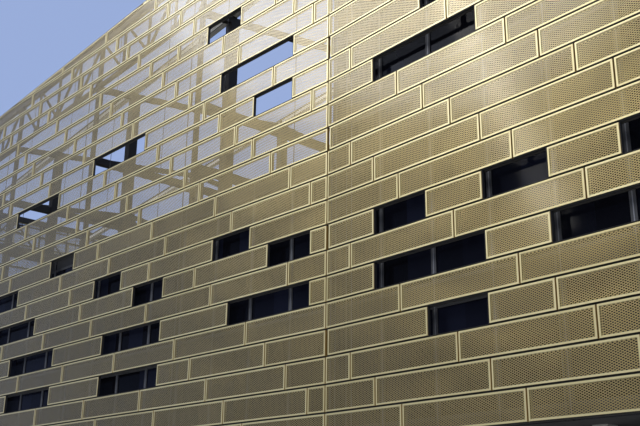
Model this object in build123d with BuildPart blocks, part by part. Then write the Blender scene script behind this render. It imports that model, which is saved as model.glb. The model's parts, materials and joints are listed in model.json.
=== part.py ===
from build123d import *
from math import atan2, ceil, cos, degrees, floor, radians, sin, tan
import os

# Community centre: a folded block of two wings behind a hung screen of metal cassettes.
# Millimetres, +Z up, ground at Z = 0. The fold of the front wall is at X = 0 and the
# middle of the building's depth is at Y = 0. The front looks towards -Y.
# The right wing is closed to its roof, and the left wing has an open deck on top.

# Plan
module_length = 2500.0
right_modules = 5
left_modules = 10
building_depth = 13000.0
fold_angle = 2.9

# Levels
screen_bottom = 3100.0
course_height = 500.0
screen_courses = 25
ground_slab_thick = 200.0
soffit_thick = 200.0
floor_slab_thick = 350.0
first_floor_level = 5500.0
deck_level = 8750.0
second_floor_level = 9500.0
right_roof_level = 13500.0
upstand_thick = 200.0

# Depths behind the outer face of the screen
cassette_depth = 60.0
rail_depth = 30.0
hanger_depth = 15.0
glass_depth = 240.0
mullion_size = 20.0
rod_size = 10.0
glass_thick = 30.0
post_depth = 350.0
ground_slab_recess = 700.0
ground_recess = 1500.0

# Screen: cassettes in a shifting bond, on rails that hang from upright flats
joint_gap = 22.0
bond_repeat = 4
end_modules = 3
back_modules = 16
left_bond_start = 475.0
left_bond_course = 1
right_bond_start = 670.0
right_bond_course = 2
smallest_piece = 60.0
rail_height = 40.0
hanger_width = 15.0
arm_height = 40.0
arm_courses = 12
coping_thick = 25.0
coping_width = 90.0

# Slot windows: course above the screen's bottom edge, half modules from that course's
# first joint, half modules of width
left_slots = [
    (19, 1, 1), (16, -1, 2), (15, 4, 2), (15, 15, 1), (14, 0, 1), (14, 8, 2), (10, 7, 1), (9, 10, 2),
    (9, 16, 1), (8, 0, 1), (8, 4, 1), (7, -1, 1), (7, 3, 1), (7, 8, 2), (7, 13, 1), (5, 0, 2), (5, 4, 2),
    (5, 8, 2), (5, 14, 2), (3, 3, 2), (3, 7, 2), (3, 12, 2), (3, 17, 1),
]
right_slots = [
    (15, 0, 2), (13, 0, 2), (13, 6, 1), (9, 5, 1), (7, -1, 1), (7, 1, 1), (7, 3, 1), (5, 0, 2), (5, 3, 2),
    (3, 0, 1), (3, 5, 2),
]
end_slots = [(13, 1, 1), (9, 3, 2), (7, 0, 1), (7, 5, 1), (5, 1, 2), (5, 6, 2), (3, 3, 2)]
back_slots = [
    (13, 1, 1), (13, 8, 2), (9, 3, 2), (9, 14, 1), (7, 0, 1), (7, 5, 1), (7, 11, 2), (7, 18, 1),
    (5, 1, 2), (5, 7, 2), (5, 12, 2), (5, 17, 2), (3, 3, 2), (3, 9, 2), (3, 15, 2),
]
# Joints beside slots that stand half a module off the bond: course, half modules from the first joint
left_extra_joints = [(19, 3), (8, 3)]
left_missing_joints = [(8, 2), (3, 6)]

# Steel
bay_length = 5000.0
column_size = 250.0
column_inset = 1000.0
post_size = 105.0
chord_size = 100.0
top_chord_height = 220.0
girder_bar = 60.0
girder_rise = 1430.0
girder_above_screen = 160.0
panel_length = 1250.0
top_edge_fall = 0.066
roof_rise = 0.12
beam_size = 150.0
tie_height = 180.0
tie_seat_rise = 25.0
strut_size = 190.0
middle_strut_level = 11400.0
lower_strut_level = 9750.0
steel_clearance = 8.0
parapet_bay = 5000.0

# Entrance
door_width = 950.0
door_height = 2400.0
door_thick = 50.0
door_gap = 5.0
door_place = 6000.0

bond_step = module_length / bond_repeat
half_module = module_length / 2
right_length = right_modules * module_length
left_length = left_modules * module_length
screen_top = screen_bottom + screen_courses * course_height
front_y = -building_depth / 2
back_y = building_depth / 2
left_x = -left_length * cos(radians(fold_angle))
left_front_y = front_y - left_length * sin(radians(fold_angle))
right_corner = (right_length, front_y)
right_back_corner = (right_length, back_y)
left_back_corner = (left_x, back_y)
left_corner = (left_x, left_front_y)
fold = (0, front_y)
outline = [fold, right_corner, right_back_corner, left_back_corner, left_corner]
inner_corner = glass_depth + glass_thick
rail_back = cassette_depth + rail_depth
hanger_back = rail_back + hanger_depth
column_half = column_size / 2
column_row = building_depth / 2 - column_inset
low_chord = girder_above_screen - girder_rise


class Wall:
    """One straight stretch of wall, from left to right as seen from outside."""

    def __init__(self, start, end):
        self.start = Vector(*start)
        self.end = Vector(*end)
        self.length = (self.end - self.start).length
        self.along = (self.end - self.start).normalized()
        self.out = self.along.cross(Vector(0, 0, 1))

    def plane(self, depth):
        """The upright plane that lies this far inside the wall's outer face."""
        return Plane(origin=self.start - self.out * depth, x_dir=self.along, z_dir=self.out)

    def x_at(self, distance):
        """The x of the outer face at a distance along the wall."""
        return (self.start + self.along * distance).X

    def top(self, distance):
        """Level of the screen's top edge, which falls along the left wing, away from the fold."""
        return screen_top + top_edge_fall * min(self.x_at(distance), 0)

    def top_points(self, begin, end):
        """The top edge between two distances, as distances and levels, with its bend at the fold's x."""
        bend = -self.start.X / self.along.X if self.start.X * self.end.X < 0 else begin
        distances = [begin, bend, end] if begin < bend < end else [begin, end]
        return [(distance, self.top(distance)) for distance in distances]


front_left = Wall(left_corner, fold)
front_right = Wall(fold, right_corner)
right_end = Wall(right_corner, right_back_corner)
back = Wall(right_back_corner, left_back_corner)
left_end = Wall(left_back_corner, left_corner)
walls = [front_left, front_right, right_end, back, left_end]


def equal_blocks(wall, centres, width, height, depth, thick, mode=Mode.ADD):
    """Add flat upright blocks of one size that follow a wall."""
    with BuildSketch(wall.plane(depth + thick)) as face:
        with Locations(*centres):
            Rectangle(width, height)
    extrude(face.sketch, amount=thick, mode=mode)


def upright_block(wall, begin, end, low, high, depth, thick, mode=Mode.ADD):
    """Add one flat upright block that follows a wall."""
    centre = ((begin + end) / 2, (low + high) / 2)
    equal_blocks(wall, [centre], end - begin, high - low, depth, thick, mode)


def below_top_edge(wall, drop=0):
    """Keep only what lies below a wall's top edge, less a drop, in the sketch that is being drawn."""
    edge = [(distance, level - drop) for distance, level in reversed(wall.top_points(0, wall.length))]
    Polygon((0, 0), (wall.length, 0), *edge, align=None, mode=Mode.INTERSECT)


def bars_to_top_edge(wall, distances, width, low, depth, thick):
    """Add upright bars that run from a level up to the top edge."""
    with BuildSketch(wall.plane(depth + thick)) as face:
        with Locations(*[(distance, (low + screen_top) / 2) for distance in distances]):
            Rectangle(width, screen_top - low)
        below_top_edge(wall)
    extrude(face.sketch, amount=thick)


def edge_band(wall, begin, end, below, above, depth, thick):
    """Add a band that follows the top edge, between two heights measured from it."""
    edge = wall.top_points(begin, end)
    with BuildSketch(wall.plane(depth + thick)) as face:
        with BuildLine():
            low_side = [(distance, level + below) for distance, level in edge]
            high_side = [(distance, level + above) for distance, level in reversed(edge)]
            Polyline(*low_side, *high_side, close=True)
        make_face()
    extrude(face.sketch, amount=thick)


def floor_plate(level, thick, recess, begin_x=left_x, end_x=right_length):
    """Add a floor slab with its top at a level, set in from the outer face by a recess."""
    with BuildSketch(Plane.XY.offset(level - thick)) as plan:
        with BuildLine():
            Polyline(*outline, close=True)
        make_face()
        offset(plan.faces(), amount=-recess, kind=Kind.INTERSECTION, mode=Mode.REPLACE)
        with Locations(((begin_x + end_x) / 2, 0)):
            Rectangle(end_x - begin_x, 2 * building_depth, mode=Mode.INTERSECT)
    extrude(plan.sketch, amount=thick)


def posts_at(places, low, high, size):
    """Add square upright posts at plan places."""
    with BuildSketch(Plane.XY.offset(low)) as plan:
        with Locations(*places):
            Rectangle(size, size)
    extrude(plan.sketch, amount=high - low)


def beam(plane, points, depth, width):
    """Add a beam with upright ends whose top follows points drawn in an upright plane."""
    with BuildSketch(plane.offset(-width / 2)) as side_face:
        with BuildLine():
            Polyline(*points, *[(along, level - depth) for along, level in reversed(points)], close=True)
        make_face()
    extrude(side_face.sketch, amount=width)


def across(x):
    """The upright plane across the building at an x, drawn with y and level."""
    return Plane(origin=(x, 0, 0), x_dir=(0, 1, 0), z_dir=(1, 0, 0))


def lengthwise(y):
    """The upright plane along the building at a y, drawn with x and level."""
    return Plane(origin=(0, y, 0), x_dir=(1, 0, 0), z_dir=(0, -1, 0))


def finish(builder, name):
    """Label a finished piece and write it."""
    builder.part.label = name
    export_step(builder.part, f"parts/{name}.step")


os.makedirs("parts", exist_ok=True)

# Slabs, from the ground up
with BuildPart() as ground_slab:
    floor_plate(ground_slab_thick, ground_slab_thick, ground_slab_recess)
finish(ground_slab, "ground_slab")

ground_length = right_length - left_x - 2 * ground_recess
ground_width = building_depth - 2 * ground_recess
ground_middle_x = (right_length + left_x) / 2
inner_width = ground_width - 2 * glass_thick
with BuildPart() as overhang_soffit:
    floor_plate(screen_bottom + soffit_thick, soffit_thick, glass_depth)
    with BuildSketch(Plane.XY.offset(screen_bottom)):
        with Locations((ground_middle_x, 0)):
            Rectangle(ground_length - 2 * glass_thick, inner_width)
        with Locations((ground_middle_x, -inner_width / 2), (ground_middle_x, inner_width / 2)):
            Rectangle(right_length - left_x, joint_gap)
        with Locations((0, -building_depth / 2)):
            Rectangle(joint_gap, building_depth)
    extrude(amount=soffit_thick, mode=Mode.SUBTRACT)
finish(overhang_soffit, "overhang_soffit")

with BuildPart() as first_floor_slab:
    floor_plate(first_floor_level, floor_slab_thick, glass_depth)
finish(first_floor_slab, "first_floor_slab")

with BuildPart() as deck_slab:
    floor_plate(deck_level, floor_slab_thick, glass_depth, end_x=0)
finish(deck_slab, "deck_slab")

with BuildPart() as second_floor_slab:
    floor_plate(second_floor_level, floor_slab_thick, glass_depth, begin_x=0)
finish(second_floor_slab, "second_floor_slab")

with BuildPart() as right_roof_slab:
    floor_plate(right_roof_level, floor_slab_thick, glass_depth, begin_x=0)
finish(right_roof_slab, "right_roof_slab")

# Inner columns, one set a storey, on the bay lines
first_line = ceil(left_x / bay_length)
last_line = floor(right_length / bay_length)
bay_lines = [bay_length * index for index in range(first_line, last_line + 1)]
left_lines = [x for x in bay_lines if x < 0 and x - column_size > left_x]
right_lines = [x for x in bay_lines if x > 0 and x + column_size < right_length]
column_rows = [-column_row, 0.0, column_row]
outer_rows = [-column_row, column_row]


def places(lines, rows):
    """Plan places of columns on lines and rows."""
    return [(x, y) for x in lines for y in rows]


first_floor_under = first_floor_level - floor_slab_thick
ground_lines = left_lines + [0.0] + right_lines
with BuildPart() as ground_columns:
    posts_at(places(ground_lines, [0.0]), ground_slab_thick, first_floor_under, column_size)
    posts_at(places(ground_lines, outer_rows), ground_slab_thick, screen_bottom, column_size)
    posts_at(places(ground_lines, outer_rows), screen_bottom + soffit_thick, first_floor_under, column_size)
finish(ground_columns, "ground_columns")

deck_under = deck_level - floor_slab_thick
second_floor_under = second_floor_level - floor_slab_thick
with BuildPart() as first_floor_columns:
    posts_at(places(left_lines, column_rows), first_floor_level, deck_under, column_size)
    posts_at(places(right_lines, column_rows), first_floor_level, second_floor_under, column_size)
finish(first_floor_columns, "first_floor_columns")

right_roof_under = right_roof_level - floor_slab_thick
with BuildPart() as top_floor_columns:
    posts_at(places(right_lines, column_rows), second_floor_level, right_roof_under, column_size)
finish(top_floor_columns, "top_floor_columns")


# Screens: each course is divided at its joints and at the edges of its slots
class Bond:
    """How one wall's courses are divided: where the count starts and which way the joints step."""

    def __init__(self, wall, begin, end, slots, start, step_course, step, modules=1, from_right=False,
                 extra=(), missing=()):
        self.wall, self.begin, self.end, self.slots = wall, begin, end, slots
        self.start, self.step_course, self.step, self.modules = start, step_course, step, modules
        self.from_right, self.extra, self.missing = from_right, extra, missing

    def joint(self, course, halves):
        """Distance along the wall of the joint this many half modules past a course's first one."""
        first = self.start + bond_step * (self.step * (course - self.step_course) % bond_repeat)
        distance = first + half_module * halves
        return self.wall.length - distance if self.from_right else distance

    def slot_spans(self, course):
        """The slots of a course, as pairs of distances."""
        return [sorted((self.joint(course, halves), self.joint(course, halves + width)))
                for slot_course, halves, width in self.slots if slot_course == course]

    def pieces(self, course):
        """The cassettes of a course, as pairs of distances with their share of the joints taken off."""
        spans = self.slot_spans(course)
        count = ceil(self.wall.length / half_module) + 1
        halves_here = [halves for halves in range(-2, count, 2 * self.modules)
                       if (course, halves) not in self.missing]
        halves_here += [halves for extra_course, halves in self.extra if extra_course == course]
        joints = [self.joint(course, halves) for halves in halves_here]
        marks = [self.begin, self.end] + joints + [edge for span in spans for edge in span]
        marks = sorted(mark for mark in marks if self.begin <= mark <= self.end)
        half_gap = joint_gap / 2
        return [(left + half_gap, right - half_gap) for left, right in zip(marks, marks[1:])
                if right - left > smallest_piece
                and not any(first < (left + right) / 2 < last for first, last in spans)]


corner_gap = cassette_depth + joint_gap
bonds = {
    "front_left_screen": Bond(front_left, 0, front_left.length, left_slots, left_bond_start,
                              left_bond_course, 1, from_right=True, extra=left_extra_joints,
                              missing=left_missing_joints),
    "front_right_screen": Bond(front_right, 0, front_right.length, right_slots, right_bond_start,
                               right_bond_course, -1),
    "right_end_screen": Bond(right_end, cassette_depth, right_end.length - cassette_depth, end_slots,
                             right_bond_start, right_bond_course, -1, end_modules),
    "back_screen": Bond(back, 0, back.length, back_slots, right_bond_start, right_bond_course, -1,
                        back_modules),
    "left_end_screen": Bond(left_end, cassette_depth, left_end.length - corner_gap, end_slots,
                            right_bond_start, right_bond_course, -1, end_modules),
}


def course_low(course):
    """Level of a course's lower joint line."""
    return screen_bottom + course * course_height


def screen(bond):
    """Add the cassettes of one wall, the top ones cut to the falling top edge."""
    wall = bond.wall
    by_size = {}
    for course in range(screen_courses):
        middle = course_low(course) + course_height / 2
        for left, right in bond.pieces(course):
            if max(wall.top(left), wall.top(right)) > course_low(course) + smallest_piece:
                by_size.setdefault(round(right - left, 3), []).append(((left + right) / 2, middle))
    with BuildSketch(wall.plane(cassette_depth)) as face:
        for width, centres in by_size.items():
            with Locations(*centres):
                Rectangle(width, course_height - joint_gap)
        below_top_edge(wall)
    extrude(face.sketch, amount=cassette_depth)


# On the ends the cassettes are longer, and on the back a course is whole between its slots
for name, bond in bonds.items():
    with BuildPart() as cassettes:
        screen(bond)
    finish(cassettes, name)


def straight_runs(wall, begin, end):
    """The stretch between two distances, parted by a joint where the top edge bends."""
    distances = [distance for distance, level in wall.top_points(begin, end)]
    half_gap = joint_gap / 2
    runs = list(zip(distances, distances[1:]))
    if len(runs) == 1:
        return runs
    return [(runs[0][0], runs[0][1] - half_gap), (runs[1][0] + half_gap, runs[1][1])]


def between_corners(wall, inset):
    """Where a wall's lengths begin and end: inset at the outer corners, up to the line at the fold."""
    begin = 0 if wall is front_right else inset
    end = wall.length if wall is front_left else wall.length - inset
    return begin, end


end_walls = (right_end, left_end)

# Coping on the screen's top edge
with BuildPart() as coping:
    for wall in walls:
        inset = coping_width + joint_gap if wall in end_walls else 0
        for begin, end in straight_runs(wall, inset, wall.length - inset):
            edge_band(wall, begin, end, 0, coping_thick, 0, coping_width)
finish(coping, "coping")

# Rails behind the joint lines, one a course, and one along the top edge
with BuildPart() as screen_rails:
    for wall in walls:
        begin, end = between_corners(wall, rail_back + joint_gap if wall in end_walls else corner_gap)
        low_rail = screen_bottom + rail_height / 2
        levels = [low_rail] + [course_low(course) for course in range(1, screen_courses)]
        with BuildSketch(wall.plane(rail_back)) as face:
            with Locations(*[((begin + end) / 2, level) for level in levels]):
                Rectangle(end - begin, rail_height)
            below_top_edge(wall, rail_height + joint_gap)
        extrude(face.sketch, amount=rail_depth)
        for first, last in straight_runs(wall, begin, end):
            edge_band(wall, first, last, -rail_height, 0, cassette_depth, rail_depth)
finish(screen_rails, "screen_rails")

# Lines of posts on each wall, where the hangers are held
end_inset = post_depth + post_size
side_inset = end_inset + post_size
deck_bays = [bay_length * index for index in range(1, floor(left_length / bay_length))]
front_posts_at = [end_inset] + [left_length - bay for bay in reversed(deck_bays)] + [left_length - post_size]
back_posts_at = [right_length + reach for reach in [post_size] + deck_bays] + [back.length - end_inset]
end_posts_at = [left_end.length / 2 - bay_length / 2, left_end.length / 2 + bay_length / 2]
right_front_at = [end_inset] + right_lines + [right_length - end_inset]
right_back_at = [end_inset] + [right_length - x for x in reversed(right_lines)]
right_end_at = [side_inset, building_depth / 2 - bay_length / 2, building_depth / 2 + bay_length / 2,
                building_depth - side_inset]
left_end_at = [side_inset] + end_posts_at + [left_end.length - side_inset - post_size]
hanger_lines = [
    (front_left, front_posts_at),
    (front_right, right_front_at),
    (right_end, right_end_at),
    (back, right_back_at + back_posts_at),
    (left_end, left_end_at),
]


def is_open(wall, distance):
    """Whether the screen stands before the open deck here, not before the right wing."""
    return wall.x_at(distance) < 0


def arm_centres(wall, lines, on_posts):
    """Where a wall's arms stand: those that end on the open deck's posts, or those on mullions."""
    centres = []
    for distance in lines:
        girder_foot = low_chord - chord_size if is_open(wall, distance) else -arm_height
        for course in range(0, screen_courses, arm_courses):
            middle = course_low(course) + arm_height / 2
            meets_post = is_open(wall, distance) and middle > deck_level
            if meets_post == on_posts and middle + arm_height / 2 < wall.top(distance) + girder_foot:
                centres.append((distance, middle))
    return centres


# Hangers: upright flats behind the rails
with BuildPart() as screen_hangers:
    for wall, lines in hanger_lines:
        bars_to_top_edge(wall, lines, hanger_width, screen_bottom, rail_back, hanger_depth)
finish(screen_hangers, "screen_hangers")

# Arms reach from the hangers to what carries them: a mullion, or a post of the open deck
post_face = post_depth - post_size / 2
mullion_face = glass_depth - mullion_size
with BuildPart() as screen_arms:
    for wall, lines in hanger_lines:
        for on_posts, reach in ((True, post_face), (False, mullion_face)):
            centres = arm_centres(wall, lines, on_posts)
            if centres:
                equal_blocks(wall, centres, hanger_width, arm_height, hanger_back, reach - hanger_back)
finish(screen_arms, "screen_arms")

# Mullions: on every half module and on the hangers' lines. Before the open deck they end at its
# floor, and a thin rod runs on from every second one up to the top edge.
def mullions(name, wall, half_places, on_hangers):
    """Make a wall's mullions from their distances."""
    distances = sorted({round(distance, 1) for distance in half_places + on_hangers})
    tall = [distance for distance in distances if not is_open(wall, distance)]
    short = [distance for distance in distances if is_open(wall, distance)]
    rods = [distance for distance in half_places[::2] if is_open(wall, distance)]
    with BuildPart() as bars:
        if tall:
            bars_to_top_edge(wall, tall, mullion_size, screen_bottom, mullion_face, mullion_size)
        if short:
            centres = [(distance, (screen_bottom + deck_level) / 2) for distance in short]
            equal_blocks(wall, centres, mullion_size, deck_level - screen_bottom, mullion_face, mullion_size)
            bars_to_top_edge(wall, rods, rod_size, deck_level, mullion_face, rod_size)
    finish(bars, name)


def places_from(start, direction, last):
    """Distances of the half modules from a start towards a last one."""
    count = floor(abs(last - start) / half_module)
    return [round(start + direction * half_module * index, 1) for index in range(1, count + 1)]


mullions("front_left_mullions", front_left, places_from(front_left.length, -1, end_inset), front_posts_at)
mullions("front_right_mullions", front_right, places_from(0, 1, right_length - end_inset),
         [mullion_size / 2] + right_front_at)
mullions("right_end_mullions", right_end, places_from(0, 1, building_depth - half_module), right_end_at)
mullions("left_end_mullions", left_end, places_from(0, 1, left_end.length - half_module), left_end_at)
mullions("back_mullions", back, places_from(0, 1, back.length - end_inset), right_back_at + back_posts_at)

# Glass, one sheet a storey on each wall
first_storey = (screen_bottom + soffit_thick, first_floor_under)
left_storey = (first_floor_level, deck_under)
right_storey = (first_floor_level, second_floor_under)
top_storey = (second_floor_level, right_roof_under)
right_storeys = (first_storey, right_storey, top_storey)
left_storeys = (first_storey, left_storey)


def glazing(name, wall, begin, end, storeys):
    """Make one wall's sheets of glass between two distances, one a storey."""
    with BuildPart() as glass:
        for low, high in storeys:
            upright_block(wall, begin, end, low, high, glass_depth, glass_thick)
    finish(glass, name)


glazing("front_left_glass", front_left, glass_depth, front_left.length, left_storeys)
glazing("front_right_glass", front_right, 0, right_length - glass_depth, right_storeys)
glazing("right_end_glass", right_end, inner_corner, building_depth - inner_corner, right_storeys)
glazing("left_end_glass", left_end, inner_corner, left_end.length - inner_corner - glass_thick, left_storeys)
glazing("back_right_glass", back, glass_depth, right_length, right_storeys)
glazing("back_left_glass", back, right_length, back.length - glass_depth, left_storeys)

# Side of the right wing's top storey towards the deck
side_middle = (front_y + back_y) / 2
side_length = building_depth - 2 * inner_corner


def side_wall(low, high, thick):
    """Add an upright block on the fold's line, between the front and back glass."""
    with BuildSketch(Plane.XY.offset(low)) as plan:
        with Locations((thick / 2, side_middle)):
            Rectangle(thick, side_length)
    extrude(plan.sketch, amount=high - low)


with BuildPart() as deck_side_glass:
    side_wall(second_floor_level, right_roof_under, glass_thick)
finish(deck_side_glass, "deck_side_glass")

with BuildPart() as deck_upstand:
    side_wall(deck_under, second_floor_under, upstand_thick)
finish(deck_upstand, "deck_upstand")

# Recessed ground floor, glazed on a rectangle, with a pair of doors in its front
ground_begin_x, ground_end_x = left_x + ground_recess, right_length - ground_recess
ground_front_y, ground_back_y = front_y + ground_recess, back_y - ground_recess
ground_corners = [(ground_begin_x, ground_front_y), (ground_end_x, ground_front_y),
                  (ground_end_x, ground_back_y), (ground_begin_x, ground_back_y)]
ground_front, ground_right, ground_back, ground_left = [
    Wall(start, end) for start, end in zip(ground_corners, ground_corners[1:] + ground_corners[:1])]
door_begin = door_place - ground_front.start.X
door_end = door_begin + 2 * door_width
door_top = ground_slab_thick + door_height
with BuildPart() as ground_front_glass:
    upright_block(ground_front, 0, ground_length, ground_slab_thick, screen_bottom, 0, glass_thick)
    upright_block(ground_front, door_begin, door_end, ground_slab_thick, door_top, 0, glass_thick,
                  Mode.SUBTRACT)
finish(ground_front_glass, "ground_front_glass")

with BuildPart() as ground_back_glass:
    upright_block(ground_back, 0, ground_length, ground_slab_thick, screen_bottom, 0, glass_thick)
finish(ground_back_glass, "ground_back_glass")

with BuildPart() as ground_end_glass:
    for wall in (ground_right, ground_left):
        upright_block(wall, glass_thick, ground_width - glass_thick, ground_slab_thick, screen_bottom,
                      0, glass_thick)
finish(ground_end_glass, "ground_end_glass")

with BuildPart() as entrance_doors:
    for begin in (door_begin, door_begin + door_width):
        upright_block(ground_front, begin + door_gap, begin + door_width - door_gap, ground_slab_thick,
                      door_top - door_gap, (glass_thick - door_thick) / 2, door_thick)
finish(entrance_doors, "entrance_doors")

# Lattice girders at the head of the open screen, on posts that stand on the deck
chord_depth = post_depth - chord_size / 2
bar_depth = post_depth - girder_bar / 2


def girder_bar_between(first, last):
    """Add one straight bar of a girder to a sketch on the wall's plane."""
    run = Vector(*last) - Vector(*first)
    with Locations((Vector(*first) + Vector(*last)) / 2):
        Rectangle(run.length, girder_bar, rotation=degrees(atan2(run.Y, run.X)))


def girder(name, wall, posts):
    """Make a lattice girder: two chords, an upright at each panel, and diagonals that fall to mid bay."""
    half_post = post_size / 2
    with BuildPart() as truss:
        for height, size in ((girder_above_screen, top_chord_height), (low_chord, chord_size)):
            edge_band(wall, posts[0] - half_post, posts[-1] + half_post, height - size / 2,
                      height + size / 2, chord_depth, chord_size)
        with BuildSketch(wall.plane(bar_depth + girder_bar)):
            for first_post, last_post in zip(posts, posts[1:]):
                panels = max(2, 2 * round((last_post - first_post) / panel_length / 2))
                step = (last_post - first_post) / panels
                for index in range(panels):
                    left, right = first_post + index * step, first_post + (index + 1) * step
                    high_end, low_end = (left, right) if index < panels / 2 else (right, left)
                    girder_bar_between((high_end, wall.top(high_end) + girder_above_screen),
                                       (low_end, wall.top(low_end) + low_chord))
                    if index:
                        girder_bar_between((left, wall.top(left) + low_chord),
                                           (left, wall.top(left) + girder_above_screen))
        extrude(amount=girder_bar)
        for distance in posts:
            upright_block(wall, distance - half_post, distance + half_post, wall.top(distance) + low_chord,
                          wall.top(distance) + girder_above_screen, chord_depth, chord_size)
    finish(truss, name)


girder("front_girder", front_left, front_posts_at)
girder("back_girder", back, back_posts_at)
girder("end_girder", left_end, left_end_at)

# Posts that stand on the deck and carry the girders
with BuildPart() as deck_posts:
    under = low_chord - chord_size / 2
    for wall, distances in ((front_left, front_posts_at), (back, back_posts_at), (left_end, end_posts_at)):
        for distance in distances:
            left, right = distance - post_size / 2, distance + post_size / 2
            with BuildSketch(wall.plane(post_depth + post_size / 2)) as face:
                with BuildLine():
                    Polyline((left, deck_level), (right, deck_level), (right, wall.top(right) + under),
                             (left, wall.top(left) + under), close=True)
                make_face()
            extrude(face.sketch, amount=post_size)
finish(deck_posts, "deck_posts")

# Roof steel over the deck: columns, cross beams, tie beams and level struts
deck_lines = [-bay for bay in reversed(deck_bays)]
seat_reach = post_depth + post_size / 2 + steel_clearance


def beam_level(x, y):
    """Level of the roof steel's top, which rises from the walls to the middle."""
    return screen_top + top_edge_fall * min(x, 0) + low_chord + roof_rise * (back_y - abs(y))


def tie_foot(x, y):
    """Level of the tie beams' underside, a seat's height above the cross beams."""
    return beam_level(x, y) + tie_seat_rise


def wall_y(x, side):
    """The y of the outer face of the left wing's front (side -1) or back (side 1) wall at an x."""
    return back_y if side > 0 else front_y + x * tan(radians(fold_angle))


with BuildPart() as deck_columns:
    for column_x in deck_lines:
        for column_y in column_rows:
            near, far = column_y - column_half, column_y + column_half
            heads = [(y, beam_level(column_x, y) - beam_size) for y in (near, column_y, far)]
            with BuildSketch(across(column_x - column_half)) as side_face:
                with BuildLine():
                    Polyline(*heads, (far, deck_level), (near, deck_level), close=True)
                make_face()
            extrude(side_face.sketch, amount=column_size)
    for row_y in column_rows:
        posts_at([(column_half, row_y)], right_roof_level, tie_foot(0, row_y), column_size)
finish(deck_columns, "deck_columns")

# Cross beams from each girder to the ridge, with the seats on which the tie beams rest
with BuildPart() as cross_beams:
    for column_x in deck_lines:
        for side in (-1, 1):
            wall_end = wall_y(column_x, side) - side * seat_reach
            ends = sorted((wall_end, side * steel_clearance))
            beam(across(column_x), [(y, beam_level(column_x, y)) for y in ends], beam_size, beam_size)
        seat_ends = (column_x - beam_size / 2, column_x + beam_size / 2)
        for row_y in column_rows:
            seat_top = [(x, tie_foot(x, row_y)) for x in seat_ends]
            beam(lengthwise(row_y), seat_top, 2 * tie_seat_rise, beam_size)
finish(cross_beams, "cross_beams")

# Level struts from the posts to the columns, at two heights
with BuildPart() as deck_struts:
    for column_x in deck_lines:
        for side in (-1, 1):
            wall_end = wall_y(column_x, side) - side * seat_reach
            for level in (middle_strut_level, lower_strut_level):
                for far_y, near_y in ((wall_end, side * (column_row + column_half)),
                                      (side * (column_row - column_half), side * column_half)):
                    ends = [(y, level + strut_size / 2) for y in sorted((far_y, near_y))]
                    beam(across(column_x), ends, strut_size, strut_size)
finish(deck_struts, "deck_struts")

# Tie beams along the column rows, over the cross beams and on to posts on the right wing's roof
with BuildPart() as tie_beams:
    for row_y in column_rows:
        bends = (left_x + seat_reach, 0, column_size)
        tie_top = [(x, tie_foot(x, row_y) + tie_height) for x in bends]
        beam(lengthwise(row_y), tie_top, tie_height, beam_size)
finish(tie_beams, "tie_beams")

# Parapet over the right wing's roof: posts, and on each wall a straight rail that steadies the mullions
rail_level = screen_top - chord_size
parapet_walls = ((front_right, right_front_at), (right_end, right_end_at), (back, right_back_at))
with BuildPart() as parapet_posts:
    for wall, distances in parapet_walls:
        centres = [(distance, (right_roof_level + rail_level) / 2) for distance in distances]
        equal_blocks(wall, centres, post_size, rail_level - right_roof_level, glass_depth, post_size)
finish(parapet_posts, "parapet_posts")

with BuildPart() as parapet_rails:
    end_clear = glass_depth + post_size + joint_gap
    for wall, begin, end in ((front_right, 0, right_length - glass_depth), (back, glass_depth, right_length),
                             (right_end, end_clear, building_depth - end_clear)):
        upright_block(wall, begin, end, rail_level, screen_top, glass_depth, post_size)
finish(parapet_rails, "parapet_rails")
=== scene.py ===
import json
import logging
import math
import random
from collections.abc import Iterable, Sequence
from dataclasses import dataclass, field
from enum import Enum

import bmesh
import bpy
from mathutils import Matrix, Vector


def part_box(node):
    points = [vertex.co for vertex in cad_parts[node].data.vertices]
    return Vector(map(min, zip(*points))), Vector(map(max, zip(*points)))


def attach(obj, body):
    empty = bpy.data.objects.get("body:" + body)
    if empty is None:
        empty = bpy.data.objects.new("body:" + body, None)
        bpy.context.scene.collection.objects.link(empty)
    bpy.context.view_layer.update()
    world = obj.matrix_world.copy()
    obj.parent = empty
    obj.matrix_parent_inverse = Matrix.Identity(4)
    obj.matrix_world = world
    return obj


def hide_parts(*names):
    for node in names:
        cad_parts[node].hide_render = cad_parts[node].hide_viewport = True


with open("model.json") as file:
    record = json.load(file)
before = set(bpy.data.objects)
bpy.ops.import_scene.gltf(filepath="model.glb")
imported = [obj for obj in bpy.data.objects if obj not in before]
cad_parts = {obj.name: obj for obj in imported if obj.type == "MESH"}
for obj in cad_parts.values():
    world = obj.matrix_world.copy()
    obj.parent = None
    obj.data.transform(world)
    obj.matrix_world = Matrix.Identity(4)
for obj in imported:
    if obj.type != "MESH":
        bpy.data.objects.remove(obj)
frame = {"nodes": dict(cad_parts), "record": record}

LOG = logging.getLogger("community_centre")
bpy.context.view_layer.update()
BODY = "root"

Colour = tuple[float, float, float]
Place = tuple[float, float, float]
Span = tuple[float, float]
Shape = bmesh.types.BMesh
Verts = list[bmesh.types.BMVert]
Material = bpy.types.Material

# How far a normal points along an axis where a face squarely faces that way, and where it leans there.
FACING = 0.9
LEANING = 0.5

# The numbers of the materials on the cassettes, on the doors and on the base plates; on the cassettes the
# third and fourth paint shade in the joints.
RIM, MESH, SHADED_FOLD, SHADOW = range(4)
PANE, METAL = 1, 2
BOLT = 1


class Wall(Enum):
    """The five walls that carry the screen, with the CAD node of each one's cassettes."""

    FRONT_LEFT = "front_left_screen"
    FRONT_RIGHT = "front_right_screen"
    RIGHT_END = "right_end_screen"
    BACK = "back_screen"
    LEFT_END = "left_end_screen"


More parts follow.
